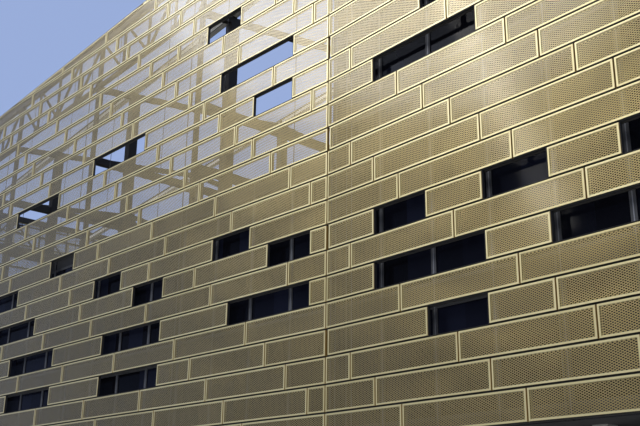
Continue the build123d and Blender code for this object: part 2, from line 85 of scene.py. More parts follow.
@dataclass(frozen=True)
class Plan:
    """Driving sizes of the building, in metres."""

    module: float = 2.5
    right_modules: int = 5
    left_modules: int = 10
    depth: float = 13.0
    fold_angle: float = 2.9
    screen_bottom: float = 3.1
    course: float = 0.5
    courses: int = 25
    top_fall: float = 0.066

    @property
    def right_length(self) -> float:
        """Length of the right wing."""
        return self.module * self.right_modules

    @property
    def left_length(self) -> float:
        """Length of the left wing's front wall."""
        return self.module * self.left_modules

    @property
    def screen_top(self) -> float:
        """Level of the screen's top edge at the fold."""
        return self.screen_bottom + self.course * self.courses

    def corners(self) -> list[Vector]:
        """Find the corners of the screen's outer face.

        Returns:
            The five corners, from the fold round to the left.
        """
        turn = math.radians(self.fold_angle)
        half = self.depth / 2
        left_x = -self.left_length * math.cos(turn)
        left_y = -half - self.left_length * math.sin(turn)
        right = self.right_length
        places = [(0, -half), (right, -half), (right, half), (left_x, half), (left_x, left_y)]
        return [Vector((x, y, 0)) for x, y in places]


PLAN = Plan()


@dataclass(frozen=True)
class WallLine:
    """One straight wall, measured by the distance along it, the depth inside it and the level."""

    start: Vector
    end: Vector

    @property
    def length(self) -> float:
        """Distance from one corner to the next."""
        return (self.end - self.start).length

    def matrix(self) -> Matrix:
        """Turn wall places (distance, depth, level) into places in the frame.

        Returns:
            The transform.
        """
        along = (self.end - self.start).normalized()
        inward = Vector((0, 0, 1)).cross(along)
        turned = Matrix((along, inward, Vector((0, 0, 1)))).transposed().to_4x4()
        return Matrix.Translation(self.start) @ turned

    def top(self, distance: float) -> float:
        """Level of the screen's top edge at a distance along the wall."""
        place = self.start + (self.end - self.start).normalized() * distance
        return PLAN.screen_top + PLAN.top_fall * min(place.x, 0)


def wall_lines() -> dict[Wall, WallLine]:
    """Give every wall its line, from left to right as seen from outside.

    Returns:
        The lines by wall.
    """
    fold, right, right_back, left_back, left = PLAN.corners()
    return {
        Wall.FRONT_LEFT: WallLine(left, fold),
        Wall.FRONT_RIGHT: WallLine(fold, right),
        Wall.RIGHT_END: WallLine(right, right_back),
        Wall.BACK: WallLine(right_back, left_back),
        Wall.LEFT_END: WallLine(left_back, left),
    }


LINES = wall_lines()


class Shade:
    """A shader socket on which arithmetic adds Math nodes."""

    def __init__(self, book: "NodeBook", socket: bpy.types.NodeSocket | None) -> None:
        """Wrap an output of one of a book's nodes."""
        self.book = book
        self.socket = socket

    def math(self, operation: str, *others: "Shade | float") -> "Shade":
        """Add a Math node whose first value is this one."""
        values = dict(enumerate((self, *others)))
        return self.book.node("ShaderNodeMath", {"operation": operation}, values)

    def __add__(self, other: "Shade | float") -> "Shade":
        """Sum."""
        return self.math("ADD", other)

    __radd__ = __add__

    def __sub__(self, other: "Shade | float") -> "Shade":
        """Difference."""
        return self.math("SUBTRACT", other)

    def __rsub__(self, other: float) -> "Shade":
        """Difference from a number."""
        return self.book.node("ShaderNodeMath", {"operation": "SUBTRACT"}, {0: other, 1: self})

    def __mul__(self, other: "Shade | float") -> "Shade":
        """Product."""
        return self.math("MULTIPLY", other)

    __rmul__ = __mul__

    def __truediv__(self, other: "Shade | float") -> "Shade":
        """Quotient."""
        return self.math("DIVIDE", other)

    def absolute(self) -> "Shade":
        """The value without its sign."""
        return self.math("ABSOLUTE")

    def below(self, limit: "Shade | float") -> "Shade":
        """1 where the value is under a limit, else 0."""
        return self.math("LESS_THAN", limit)

    def least(self, other: "Shade | float") -> "Shade":
        """The smaller of two values."""
        return self.math("MINIMUM", other)

    def most(self, other: "Shade | float") -> "Shade":
        """The larger of two values."""
        return self.math("MAXIMUM", other)

    def off_centre(self) -> "Shade":
        """Distance from the middle of each repeat of a pattern, in repeats."""
        return (self.math("FRACT") - 0.5).absolute()


@dataclass(frozen=True)
class Grain:
    """A noise pattern: its fineness, its detail, how the piece is stretched under it, and its roughness."""

    scale: float
    detail: float
    stretch: Place = (1, 1, 1)
    rough: float = 0.5


class NodeBook:
    """The nodes of one material or world, and the short calls that add them."""

    def __init__(self, owner: Material | bpy.types.World) -> None:
        """Start with no nodes.

        Args:
            owner: The material or world that the nodes belong to.
        """
        owner.use_nodes = True
        self.owner = owner
        self.tree = owner.node_tree
        self.tree.nodes.clear()

    def node(self, kind: str, settings: dict | None = None, values: dict | None = None,
             output: int | str = 0) -> Shade:
        """Add any node.

        Args:
            kind: The node's type.
            settings: Its properties, set before its sockets.
            values: Its sockets by name or number, as numbers, colours or other nodes' outputs.
            output: The output that is handed back.

        Returns:
            The chosen output, empty for a node that has none.
        """
        made = self.tree.nodes.new(kind)
        for key, value in (settings or {}).items():
            setattr(made, key, value)
        for key, value in (values or {}).items():
            entry = made.inputs[key]
            if isinstance(value, Shade):
                self.tree.links.new(value.socket, entry)
            else:
                entry.default_value = (*value, 1.0) if entry.type == "RGBA" else value
        return Shade(self, made.outputs[output] if made.outputs else None)

    def place(self, stretch: Place = (1, 1, 1)) -> Shade:
        """Object coordinates, stretched."""
        coordinates = self.node("ShaderNodeTexCoord", output="Object")
        return self.node("ShaderNodeMapping", values={"Vector": coordinates, "Scale": stretch})

    def sheet(self) -> list[Shade]:
        """The two lengths of a piece's own sheet map, in metres."""
        return self.split(self.node("ShaderNodeUVMap", {"uv_map": "sheet"}))[:2]

    def split(self, vector: Shade) -> list[Shade]:
        """The three parts of a vector."""
        first = self.node("ShaderNodeSeparateXYZ", values={0: vector})
        return [Shade(self, output) for output in first.socket.node.outputs]

    def facing(self) -> list[Shade]:
        """The three parts of the way that a face points."""
        return self.split(self.node("ShaderNodeNewGeometry", output="Normal"))

    def mark(self, name: str) -> Shade:
        """A number stored on each face of a piece."""
        return self.node("ShaderNodeAttribute", {"attribute_name": name}, output="Fac")

    def noise(self, grain: Grain) -> Shade:
        """Soft noise between 0 and 1."""
        values = {"Scale": grain.scale, "Detail": grain.detail, "Roughness": grain.rough}
        return self.node("ShaderNodeTexNoise", values={"Vector": self.place(grain.stretch), **values})

    def blend(self, share: Shade | float, first: Colour | Shade, second: Colour | Shade) -> Shade:
        """Mix two colours by a share."""
        return self.node("ShaderNodeMix", {"data_type": "RGBA"}, {0: share, 6: first, 7: second}, 2)

    def bump(self, height: Shade, distance: float, strength: float = 1.0) -> Shade:
        """Turn a height into a normal."""
        values = {"Height": height, "Distance": distance, "Strength": strength}
        return self.node("ShaderNodeBump", values=values)

    def surface(self, values: dict) -> Material:
        """Finish the material with one Principled surface.

        Args:
            values: The surface's sockets.

        Returns:
            The finished material.
        """
        shader = self.node("ShaderNodeBsdfPrincipled", values=values)
        self.node("ShaderNodeOutputMaterial", values={"Surface": shader})
        return self.owner


@dataclass(frozen=True)
class GoldRim:
    """Champagne-gold anodised sheet, folded into the cassettes' rims."""

    light: Colour = (0.56, 0.480, 0.235)
    dark: Colour = (0.44, 0.362, 0.150)
    tone_share: float = 0.6
    streaks: Grain = Grain(9.0, 3.0, (1, 1, 0.15))
    brushing: Grain = Grain(900.0, 1.0, (0.05, 0.05, 1))
    relief: float = 0.0004
    metallic: float = 0.65
    rough: float = 0.36
    spread: float = 0.14
    coat: float = 0.6
    coat_rough: float = 0.3

    def material(self) -> Material:
        """Make the finish.

        Returns:
            Its material.
        """
        book = NodeBook(bpy.data.materials.new("gold_rim"))
        streaks = book.noise(self.streaks)
        share = book.mark("tone") * self.tone_share + streaks * (1 - self.tone_share)
        return book.surface({
            "Base Color": book.blend(share, self.dark, self.light), "Metallic": self.metallic,
            "Roughness": streaks * self.spread + self.rough, "Coat Weight": self.coat,
            "Coat Roughness": self.coat_rough, "Normal": book.bump(book.noise(self.brushing), self.relief),
        })


@dataclass(frozen=True)
class GoldMesh:
    """Expanded metal: flattened strands in diamonds, open between them."""

    light: Colour = (0.270, 0.206, 0.078)
    dark: Colour = (0.182, 0.135, 0.045)
    long_way: float = 0.070
    short_way: float = 0.036
    strand: float = 0.36
    tone_share: float = 0.45
    drift_share: float = 0.35
    sheen_streak_share: float = 0.3
    drift: Grain = Grain(0.35, 2.0, (1, 1, 0.5))
    streaks: Grain = Grain(5.0, 3.0, (1, 1, 0.12))
    bow: Grain = Grain(0.75, 1.0, (1, 1, 1.6))
    crown: float = 0.0006
    wave: float = 0.035
    metallic: float = 0.8
    rough: float = 0.30
    spread: float = 0.16
    coat: float = 0.6
    coat_rough: float = 0.12

    def material(self) -> Material:
        """Make the finish.

        Returns:
            Its material.
        """
        book = NodeBook(bpy.data.materials.new("gold_mesh"))
        along, level = book.sheet()
        rising = (along / self.long_way + level / self.short_way).off_centre()
        falling = (along / self.long_way - level / self.short_way).off_centre()
        nearest = rising.least(falling)
        # Vertical streaks vary the gold's tone and also paint a soft vertical sheen.
        streaks = book.noise(self.streaks)
        share = (book.mark("tone") * self.tone_share + book.noise(self.drift) * self.drift_share
                 + streaks * self.sheen_streak_share).least(1.0)
        crown = 1 - nearest * (2 / self.strand)
        height = crown * self.crown + book.noise(self.bow) * self.wave
        return book.surface({
            "Base Color": book.blend(share, self.dark, self.light), "Metallic": self.metallic,
            "Roughness": streaks * self.spread + self.rough, "Coat Weight": self.coat,
            "Coat Roughness": self.coat_rough, "Alpha": nearest.below(self.strand / 2),
            "Normal": book.bump(height, 1.0),
        })


@dataclass(frozen=True)
class Painted:
    """Paint on steel or board: a colour with faint blotches, dust and fine orange peel."""

    name: str
    colour: Colour
    dust: Colour
    rough: float = 0.5
    metallic: float = 0.0
    cloud: Grain = Grain(0.9, 4.0)
    peel: Grain = Grain(45.0, 2.0)
    dust_share: float = 0.5
    peel_share: float = 0.1
    spread: float = 0.2
    relief: float = 0.0008
    strength: float = 0.5

    def material(self) -> Material:
        """Make the finish.

        Returns:
            Its material.
        """
        book = NodeBook(bpy.data.materials.new(self.name))
        cloud, peel = book.noise(self.cloud), book.noise(self.peel)
        share = cloud * self.dust_share + peel * self.peel_share
        return book.surface({
            "Base Color": book.blend(share, self.colour, self.dust),
            "Metallic": self.metallic, "Roughness": cloud * self.spread + self.rough,
            "Normal": book.bump(peel, self.relief, self.strength),
        })


@dataclass(frozen=True)
class Concrete:
    """Concrete, paving or boards laid in square panels, with joints, clouding and pinholes; upright faces,
    and with the flag set also undersides, take a near-black colour that paints shade.
    """

    name: str = "fair_faced_concrete"
    pale: Colour = (0.52, 0.51, 0.48)
    dark: Colour = (0.36, 0.355, 0.34)
    # Colour of the upright faces, by default near black as painted shade.
    edge: Colour = (0.005, 0.005, 0.006)
    panel: float = 1.25
    joint: float = 0.012
    joint_shade: float = 0.45
    shade_underside: bool = True
    joint_share: float = 0.55
    cloud: Grain = Grain(0.7, 5.0, rough=0.6)
    pinholes: Grain = Grain(60.0, 3.0)
    cloud_share: float = 0.8
    relief: float = 0.002
    pinhole_depth: float = 0.4
    rough: float = 0.72
    spread: float = 0.15

    def material(self) -> Material:
        """Make the finish.

        Returns:
            Its material.
        """
        book = NodeBook(bpy.data.materials.new(self.name))
        cloud, pinholes = book.noise(self.cloud), book.noise(self.pinholes)
        along, across, _ = book.split(book.place())
        furthest = (along / self.panel).off_centre().most((across / self.panel).off_centre())
        joint = furthest.math("GREATER_THAN", 0.5 - self.joint / self.panel / 2)
        share = cloud * self.cloud_share + pinholes * (1 - self.cloud_share)
        colour = book.blend(share, self.dark, self.pale)
        shade = tuple(part * self.joint_shade for part in self.dark)
        jointed = book.blend(joint * self.joint_share, colour, shade)
        # Upright faces, and undersides where the flag is set, get the edge colour as painted shade.
        *_, up = book.facing()
        upright = (up if self.shade_underside else up.absolute()).below(LEANING)
        return book.surface({
            "Base Color": book.blend(upright, jointed, self.edge),
            "Roughness": cloud * self.spread + self.rough,
            "Normal": book.bump(pinholes * self.pinhole_depth - joint, self.relief),
        })


@dataclass(frozen=True)
class DarkGlass:
    """Coated glass that is nearly black by day: panes from black to a dark blue that paints the sky's
    reflection, with faint waves and dust.
    """

    name: str
    tint: Colour = (0.003, 0.003, 0.004)
    reflected_navy: Colour = (0.009, 0.011, 0.024)
    pane: float = 0.625
    clear: float = 0.03
    row: float = 0.9
    row_step: float = 7.3
    pane_share: float = 0.8
    wave: Grain = Grain(0.6, 1.0)
    film: Grain = Grain(3.0, 4.0, (1, 1, 0.3))
    relief: float = 0.004
    strength: float = 0.4
    rough: float = 0.03
    spread: float = 0.05
    index: float = 1.08
    glint: Colour = (0.72, 0.80, 1.0)

    def material(self) -> Material:
        """Make the finish.

        Returns:
            Its material.
        """
        book = NodeBook(bpy.data.materials.new(self.name))
        film = book.noise(self.film)
        along, across, level = book.split(book.place())
        number = ((along + across) / self.pane).math("FLOOR")
        number += (level / self.row).math("FLOOR") * self.row_step
        chosen = book.node("ShaderNodeTexWhiteNoise", {"noise_dimensions": "1D"}, {"W": number})
        # Each pane's tone picks between the tint and the dark blue, a painted sky reflection.
        shade = chosen * chosen * self.pane_share + film * (1 - self.pane_share)
        return book.surface({
            "Base Color": book.blend(shade, self.tint, self.reflected_navy),
            "Roughness": film * self.spread + self.rough,
            "IOR": self.index, "Specular Tint": self.glint, "Alpha": 1 - film * self.clear,
            "Normal": book.bump(book.noise(self.wave), self.relief, self.strength),
        })


@dataclass(frozen=True)
class BrushedMetal:
    """Mill or satin aluminium, brushed along its length, with its sides painted near black as shade."""

    name: str
    colour: Colour
    rough: float = 0.32
    metallic: float = 0.9
    shaded_flank: Colour = (0.016, 0.016, 0.018)
    shaded_flank_share: float = 0.95
    worn: float = 0.72
    cloud_share: float = 0.7
    brushing: Grain = Grain(260.0, 2.0, (1, 1, 0.02))
    cloud: Grain = Grain(1.7, 3.0)
    relief: float = 0.0003
    spread: float = 0.15

    def material(self) -> Material:
        """Make the finish.

        Returns:
            Its material.
        """
        book = NodeBook(bpy.data.materials.new(self.name))
        brushing = book.noise(self.brushing)
        share = book.noise(self.cloud) * self.cloud_share + brushing * (1 - self.cloud_share)
        metal = book.blend(share, tuple(part * self.worn for part in self.colour), self.colour)
        # Faces that point neither front nor back get a near-black colour as painted shade.
        _, front, _ = book.facing()
        shaded_flank = front.absolute().below(LEANING)
        return book.surface({
            "Base Color": book.blend(shaded_flank * self.shaded_flank_share, metal, self.shaded_flank),
            "Metallic": self.metallic, "Roughness": brushing * self.spread + self.rough,
            "Normal": book.bump(brushing, self.relief),
        })


class Finishes:
    """The materials, each made once."""

    def __init__(self) -> None:
        """Make them all."""
        self.rim = GoldRim().material()
        self.mesh = GoldMesh().material()
        # The folds' darker gold paints the shade inside the upright joints.
        self.fold = Painted("gold_fold_painted_shade", (0.36, 0.23, 0.065), (0.46, 0.31, 0.10), 0.45, 0.3).material()
        # Near black: painted shadow in the horizontal joints between the cassettes.
        self.shadow = Painted("joint_shadow", (0.012, 0.010, 0.006), (0.03, 0.024, 0.012), 0.6).material()
        self.liner = Painted("slot_liner", (0.012, 0.012, 0.013), (0.03, 0.03, 0.032), 0.45).material()
        # Near black: the steel's dark paint, with painted shade darkened into it.
        self.steel = Painted("deck_steel_paint_and_shade", (0.012, 0.011, 0.010), (0.030, 0.028, 0.025), 0.6).material()
        self.hanger = Painted("hanger_paint", (0.028, 0.026, 0.022), (0.06, 0.056, 0.05), 0.5).material()
        self.column = Painted("column_paint", (0.34, 0.33, 0.31), (0.42, 0.41, 0.39), 0.6).material()
        self.soffit = Concrete("soffit_board", (0.055, 0.055, 0.058), (0.035, 0.035, 0.038),
                               panel=0.625, shade_underside=False).material()
        self.paving = Concrete("deck_paving", (0.44, 0.43, 0.40), (0.31, 0.30, 0.28), panel=0.6).material()
        self.membrane = Concrete("roof_membrane", (0.30, 0.30, 0.31), (0.23, 0.23, 0.24), panel=2.1,
                                 joint=0.04, joint_shade=0.8).material()
        self.coping = Painted("coping_metal", (0.13, 0.10, 0.06), (0.19, 0.15, 0.10), 0.45, 0.4).material()
        # Near white: painted sunlight on the strips along the tie beams.
        self.sunlit_flange = Painted("pale_flange_painted_sunlight", (0.82, 0.81, 0.78), (0.70, 0.69, 0.66), 0.5).material()
        self.frame = Painted("window_frame", (0.006, 0.006, 0.007), (0.012, 0.012, 0.013), 0.5).material()
        self.concrete = Concrete().material()
        self.ground = Concrete("ground_concrete", edge=(0.34, 0.335, 0.32)).material()
        self.glass = DarkGlass("dark_glass").material()
        self.ground_glass = DarkGlass("ground_glass", (0.008, 0.010, 0.012), (0.03, 0.036, 0.05),
                                      pane=1.25, clear=0.5).material()
        self.mullion = BrushedMetal("mullion_aluminium", (0.15, 0.15, 0.155), 0.45).material()
        self.door = Painted("door_paint", (0.03, 0.03, 0.032), (0.05, 0.05, 0.05), 0.35, 0.2).material()

    def dress_frame(self) -> None:
        """Give every CAD node that stays its finish, by the record's slots."""
        by_slot = {
            "concrete": self.concrete, "soffit": self.soffit, "column_paint": self.column,
            "deck_steel": self.steel, "hanger_steel": self.hanger, "cassette_metal": self.rim,
            "mullion_metal": self.mullion, "dark_glass": self.glass, "ground_glass": self.ground_glass,
            "door_metal": self.door,
        }
        by_node = {"deck_slab": self.paving, "right_roof_slab": self.membrane, "coping": self.coping,
                   "ground_slab": self.ground}
        slots = {part["node"]: part["material_slot"] for part in frame["record"]["subparts"]}
        for name, node in frame["nodes"].items():
            node.data.materials.clear()
            node.data.materials.append(by_node.get(name, by_slot[slots[name]]))


def add_object(name: str, data: bpy.types.ID) -> bpy.types.Object:
    """Put a mesh, lamp or camera into the scene.

    Args:
        name: The object's name.
        data: What it shows.

    Returns:
        The object.
    """
    made = bpy.data.objects.new(name, data)
    bpy.context.scene.collection.objects.link(made)
    return made


def add_mesh(name: str, shape: Shape, finishes: Iterable[Material]) -> bpy.types.Object:
    """Turn a finished bmesh into an object.

    Args:
        name: The object's name.
        shape: Its geometry, already in place. It is freed.
        finishes: Its materials in order.

    Returns:
        The object.
    """
    mesh = bpy.data.meshes.new(name)
    shape.to_mesh(mesh)
    shape.free()
    for finish in finishes:
        mesh.materials.append(finish)
    return add_object(name, mesh)


def faces_of(verts: Verts) -> set[bmesh.types.BMFace]:
    """The faces that meet at some vertices."""
    return {face for vert in verts for face in vert.link_faces}


def edges_of(verts: Verts) -> list[bmesh.types.BMEdge]:
    """The edges that meet at some vertices."""
    return list({edge for vert in verts for edge in vert.link_edges})


@dataclass
class Assembly:
    """A sub-assembly: the finishes that it wears, and the bmesh in which its next piece takes shape."""

    finishes: Finishes
    shape: Shape = field(default_factory=bmesh.new, kw_only=True)

    def block(self, low: Iterable[float], high: Iterable[float], turn: Matrix | None = None) -> Verts:
        """Add one block between two corners.

        Args:
            low: Its lowest corner.
            high: Its highest corner.
            turn: What is applied to it afterwards.

        Returns:
            The block's vertices.
        """
        low, high = Vector(low), Vector(high)
        place = Matrix.Translation((low + high) / 2) @ Matrix.Diagonal((*(high - low), 1.0))
        return bmesh.ops.create_cube(self.shape, size=1.0, matrix=(turn or Matrix()) @ place)["verts"]

    def rod(self, radius: float, length: float, sides: int, place: Matrix) -> set[bmesh.types.BMFace]:
        """Add one rod along its own upright axis.

        Args:
            radius: Its radius.
            length: Its length.
            sides: How many sides it has.
            place: Where its middle is put, and how it is turned.

        Returns:
            The rod's faces.
        """
        made = bmesh.ops.create_cone(self.shape, cap_ends=True, segments=sides, radius1=radius,
                                     radius2=radius, depth=length, matrix=place)
        return faces_of(made["verts"])

    def soften(self, width: float, edges: Sequence[bmesh.types.BMEdge] | None = None,
               segments: int = 1) -> None:
        """Bevel edges of the shape.

        Args:
            width: The bevel's width.
            edges: The edges, or None for all.
            segments: The bevel's number of steps.
        """
        bmesh.ops.bevel(self.shape, geom=self.shape.edges[:] if edges is None else edges, offset=width,
                        segments=segments, profile=0.5, affect="EDGES", material=-1)

    def deliver(self, name: str, slot: str, *finishes: Material) -> bpy.types.Object:
        """Turn the shape into a piece that rides on the building, and start the next one.

        Args:
            name: The piece's name.
            slot: The record's material slot; not used.
            finishes: Its materials in order.

        Returns:
            The piece.
        """
        piece = add_mesh(name, self.shape, finishes)
        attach(piece, BODY)
        LOG.info("%s: %d faces", name, len(piece.data.polygons))
        self.shape = bmesh.new()
        return piece


@dataclass(frozen=True)
class Bond:
    """How a wall's courses are divided into cassettes and slot windows.

    Slots are given as the course, half modules from that course's first joint, and half modules of width.
    """

    wall: Wall
    slots: tuple[tuple[int, int, int], ...]
    start: float = 0.670
    start_course: int = 2
    step: int = -1
    from_right: bool = False
    trim: Span = (0.0, 0.0)
    extra: tuple[tuple[int, int], ...] = ()
    missing: tuple[tuple[int, int], ...] = ()
    repeat: int = 4
    smallest: float = 0.06

    @property
    def line(self) -> WallLine:
        """The wall's line."""
        return LINES[self.wall]

    def joint(self, course: int, halves: int) -> float:
        """Place a joint or a slot's edge along the wall.

        Args:
            course: The course's number from the bottom.
            halves: Half modules from the course's first joint.

        Returns:
            Its distance along the wall.
        """
        step = PLAN.module / self.repeat
        first = self.start + step * (self.step * (course - self.start_course) % self.repeat)
        distance = first + PLAN.module / 2 * halves
        return self.line.length - distance if self.from_right else distance

    def slot_spans(self, course: int) -> list[Span]:
        """The two ends of each slot of one course."""
        slots = [(halves, halves + width) for row, halves, width in self.slots if row == course]
        return [tuple(sorted(self.joint(course, end) for end in slot)) for slot in slots]

    def cassette_spans(self, course: int) -> list[Span]:
        """Divide one course into its cassettes.

        Args:
            course: The course's number from the bottom.

        Returns:
            The two ends of each cassette, joint to joint.
        """
        spans = self.slot_spans(course)
        begin, end = self.trim[0], self.line.length - self.trim[1]
        count = math.ceil(2 * self.line.length / PLAN.module) + 1
        marks = [self.joint(course, halves) for halves in range(-2, count, 2)
                 if (course, halves) not in self.missing]
        marks += [self.joint(course, halves) for row, halves in self.extra if row == course]
        marks += [begin, end] + [edge for span in spans for edge in span]
        marks = sorted(mark for mark in marks if begin <= mark <= end)
        return [(left, right) for left, right in zip(marks, marks[1:]) if right - left > self.smallest
                and not any(first < (left + right) / 2 < last for first, last in spans)]

    def low(self, course: int) -> float:
        """Level of a course's lower joint."""
        return PLAN.screen_bottom + PLAN.course * course


LEFT_SLOTS = (
    (19, 1, 1), (16, -1, 2), (15, 4, 2), (15, 15, 1), (14, 0, 1), (14, 8, 2), (10, 7, 1), (9, 10, 2),
    (9, 16, 1), (8, 0, 1), (8, 4, 1), (7, -1, 1), (7, 3, 1), (7, 8, 2), (7, 13, 1), (5, 0, 2), (5, 4, 2),
    (5, 8, 2), (5, 14, 2), (3, 3, 2), (3, 7, 2), (3, 12, 2), (3, 17, 1),
)
RIGHT_SLOTS = (
    (15, 0, 2), (13, 0, 2), (13, 6, 1), (9, 5, 1), (7, -1, 1), (7, 1, 1), (7, 3, 1), (5, 0, 2), (5, 3, 2),
    (3, 0, 1), (3, 5, 2),
)
END_SLOTS = ((13, 1, 1), (9, 3, 2), (7, 0, 1), (7, 5, 1), (5, 1, 2), (5, 6, 2), (3, 3, 2))
BACK_SLOTS = (
    (13, 1, 1), (13, 8, 2), (9, 3, 2), (9, 14, 1), (7, 0, 1), (7, 5, 1), (7, 11, 2), (7, 18, 1),
    (5, 1, 2), (5, 7, 2), (5, 12, 2), (5, 17, 2), (3, 3, 2), (3, 9, 2), (3, 15, 2),
)
BONDS = (
    Bond(Wall.FRONT_LEFT, LEFT_SLOTS, start=0.475, start_course=1, step=1, from_right=True,
         extra=((19, 3), (8, 3)), missing=((8, 2), (3, 6))),
    Bond(Wall.FRONT_RIGHT, RIGHT_SLOTS),
    Bond(Wall.RIGHT_END, END_SLOTS, trim=(0.06, 0.06)),
    Bond(Wall.BACK, BACK_SLOTS),
    Bond(Wall.LEFT_END, END_SLOTS, trim=(0.06, 0.082)),
)


@dataclass
class CassetteScreen(Assembly):
    """The hung screen of one wall: folded trays of mesh, each with its rim, laid in their bond."""

    bond: Bond
    depth: float = 0.06
    joint: float = 0.028
    rim: float = 0.033
    mesh_depth: float = 0.007
    draft: float = 0.001
    lip: float = 0.03
    edge: float = 0.003
    level_edge: float = 1e-6
    cut_reach: float = 1e-5
    seed: int = 5

    def build(self) -> None:
        """Make the wall's cassettes in place of their CAD solids."""
        self.add_trays()
        self.cut_top_edge()
        self.fold_trays()
        self.map_sheets()
        bmesh.ops.transform(self.shape, matrix=self.bond.line.matrix(), verts=self.shape.verts)
        looks = self.finishes
        piece = self.deliver(self.bond.wall.value.replace("screen", "cassettes"), "cassette_metal",
                             looks.rim, looks.mesh, looks.fold, looks.shadow)
        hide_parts(self.bond.wall.value)

    def add_trays(self) -> None:
        """Add a block for every cassette, each with its own tone."""
        tone = self.shape.faces.layers.float.new("tone")
        chance = random.Random(self.seed)
        half = self.joint / 2
        for course in range(PLAN.courses):
            low = self.bond.low(course)
            for left, right in self.bond.cassette_spans(course):
                if max(self.bond.line.top(left), self.bond.line.top(right)) < low + self.bond.smallest:
                    continue
                corners = ((left + half, 0, low + half), (right - half, self.depth, low + PLAN.course - half))
                share = chance.random()
                for face in faces_of(self.block(*corners)):
                    face[tone] = share

    def cut_top_edge(self) -> None:
        """Cut the highest trays to the edge that falls along the left wing."""
        line, shape = self.bond.line, self.shape
        if abs(line.top(0.0) - line.top(line.length)) < self.level_edge:
            return
        begin = PLAN.right_length if self.bond.wall is Wall.BACK else 0.0
        slope = (line.top(line.length) - line.top(begin)) / (line.length - begin)
        bmesh.ops.bisect_plane(
            shape, geom=shape.verts[:] + shape.edges[:] + shape.faces[:], dist=self.cut_reach,
            plane_co=(begin, 0, line.top(begin)), plane_no=(-slope, 0, 1), clear_outer=True)
        bmesh.ops.holes_fill(shape, edges=[edge for edge in shape.edges if edge.is_boundary])

    def fold_trays(self) -> None:
        """Give each tray its rim, the sheet set back inside it, and an open back with lips."""
        shape = self.shape
        fronts = [face for face in shape.faces if face.normal.y < -FACING]
        self.soften(self.edge, list({edge for face in fronts for edge in face.edges}))
        fronts = [face for face in shape.faces if face.normal.y < -FACING]
        for thickness, depth in ((self.rim - self.edge, 0.0), (self.draft, -self.mesh_depth)):
            bmesh.ops.inset_individual(shape, faces=fronts, thickness=thickness, depth=depth,
                                       use_even_offset=True)
        for face in fronts:
            face.material_index = MESH
        # Faces inside the upright joints take the darker fold gold as painted shade; faces inside the
        # horizontal joints, and the rims' bevels along them, take the near-black finish as painted shadow.
        for face in shape.faces:
            level = abs(face.normal.z) > LEANING
            if abs(face.normal.y) < LEANING and face.calc_center_median().y > 2 * self.edge:
                face.material_index = SHADOW if level else SHADED_FOLD
            elif level and face.normal.y < -LEANING and face.material_index == RIM:
                face.material_index = SHADOW
        backs = [face for face in shape.faces if face.normal.y > FACING]
        bmesh.ops.inset_individual(shape, faces=backs, thickness=self.lip, use_even_offset=True)
        bmesh.ops.delete(shape, geom=backs, context="FACES_ONLY")

    def map_sheets(self) -> None:
        """Lay every face out in metres: the distance along the wall and the level."""
        sheet = self.shape.loops.layers.uv.new("sheet")
        for face in self.shape.faces:
            for corner in face.loops:
                place = corner.vert.co
                corner[sheet].uv = (place.x + place.y, place.z)


@dataclass
class SlotLiners(Assembly):
    """Black folded liners round the slot windows of every wall."""

    sheet: float = 0.004
    front: float = 0.004
    back: float = 0.058
    gap: float = 0.0015
    edge: float = 0.0007

    def build(self) -> None:
        """Make every liner as one piece."""
        for bond in BONDS:
            for course in range(PLAN.courses):
                for left, right in bond.slot_spans(course):
                    low = bond.low(course)
                    self.add_liner(bond, (left + self.gap, right - self.gap),
                                   (low + self.gap, low + PLAN.course - self.gap))
        self.soften(self.edge)
        self.deliver("slot_liners", "hanger_steel", self.finishes.liner)

    def add_liner(self, bond: Bond, span: Span, levels: Span) -> None:
        """Add the four plates of one liner, between the trays round the slot.

        Args:
            bond: The bond of the slot's wall.
            span: Where the liner begins and ends along the wall.
            levels: Its lowest and highest level.
        """
        low, high = levels
        turn = bond.line.matrix()
        left, right = span
        for bottom in (low, high - self.sheet):
            self.block((left, self.front, bottom), (right, self.back, bottom + self.sheet), turn)
        for side in (left, right - self.sheet):
            self.block((side, self.front, low + self.sheet),
                       (side + self.sheet, self.back, high - self.sheet), turn)


@dataclass(frozen=True)
class Bay:
    """Where the steel of the open deck stands, in metres, as the frame's nodes have it."""

    length: float = 5.0
    lines: int = 4
    row: float = 5.5
    far_end: float = -24.4
    post_depth: float = 0.35
    deck: float = 8.75
    chord_drop: float = 1.27
    roof_rise: float = 0.12
    seat: float = 0.025
    beam: float = 0.15

    def beam_level(self, x: float, y: float) -> float:
        """Level of the cross beams' top."""
        fall = PLAN.top_fall * min(x, 0)
        return PLAN.screen_top + fall - self.chord_drop + self.roof_rise * (PLAN.depth / 2 - abs(y))


BAY = Bay()


@dataclass(frozen=True)
class GlassStretch:
    """A stretch of glazed wall between two distances along it, with its storeys' sills and heads."""

    wall: Wall
    begin: float
    end: float
    storeys: tuple[Span, ...]


def glass_stretches(corner: float = 0.32, joint: float = 0.15) -> list[GlassStretch]:
    """Find the glass behind the screen, wall by wall.

    Args:
        corner: How far from a corner of the building it ends.
        joint: How far from the movement joint it ends.

    Returns:
        The stretches.
    """
    left = ((3.30, 5.15), (5.50, 8.40))
    right = ((3.30, 5.15), (5.50, 9.15), (9.50, 13.15))
    length = {wall: line.length for wall, line in LINES.items()}
    return [
        GlassStretch(Wall.FRONT_LEFT, corner, length[Wall.FRONT_LEFT] - joint, left),
        GlassStretch(Wall.FRONT_RIGHT, joint, length[Wall.FRONT_RIGHT] - corner, right),
        GlassStretch(Wall.RIGHT_END, corner, length[Wall.RIGHT_END] - corner, right),
        GlassStretch(Wall.BACK, corner, PLAN.right_length - joint, right),
        GlassStretch(Wall.BACK, PLAN.right_length + joint, length[Wall.BACK] - corner, left),
        GlassStretch(Wall.LEFT_END, corner, length[Wall.LEFT_END] - corner, left),
    ]


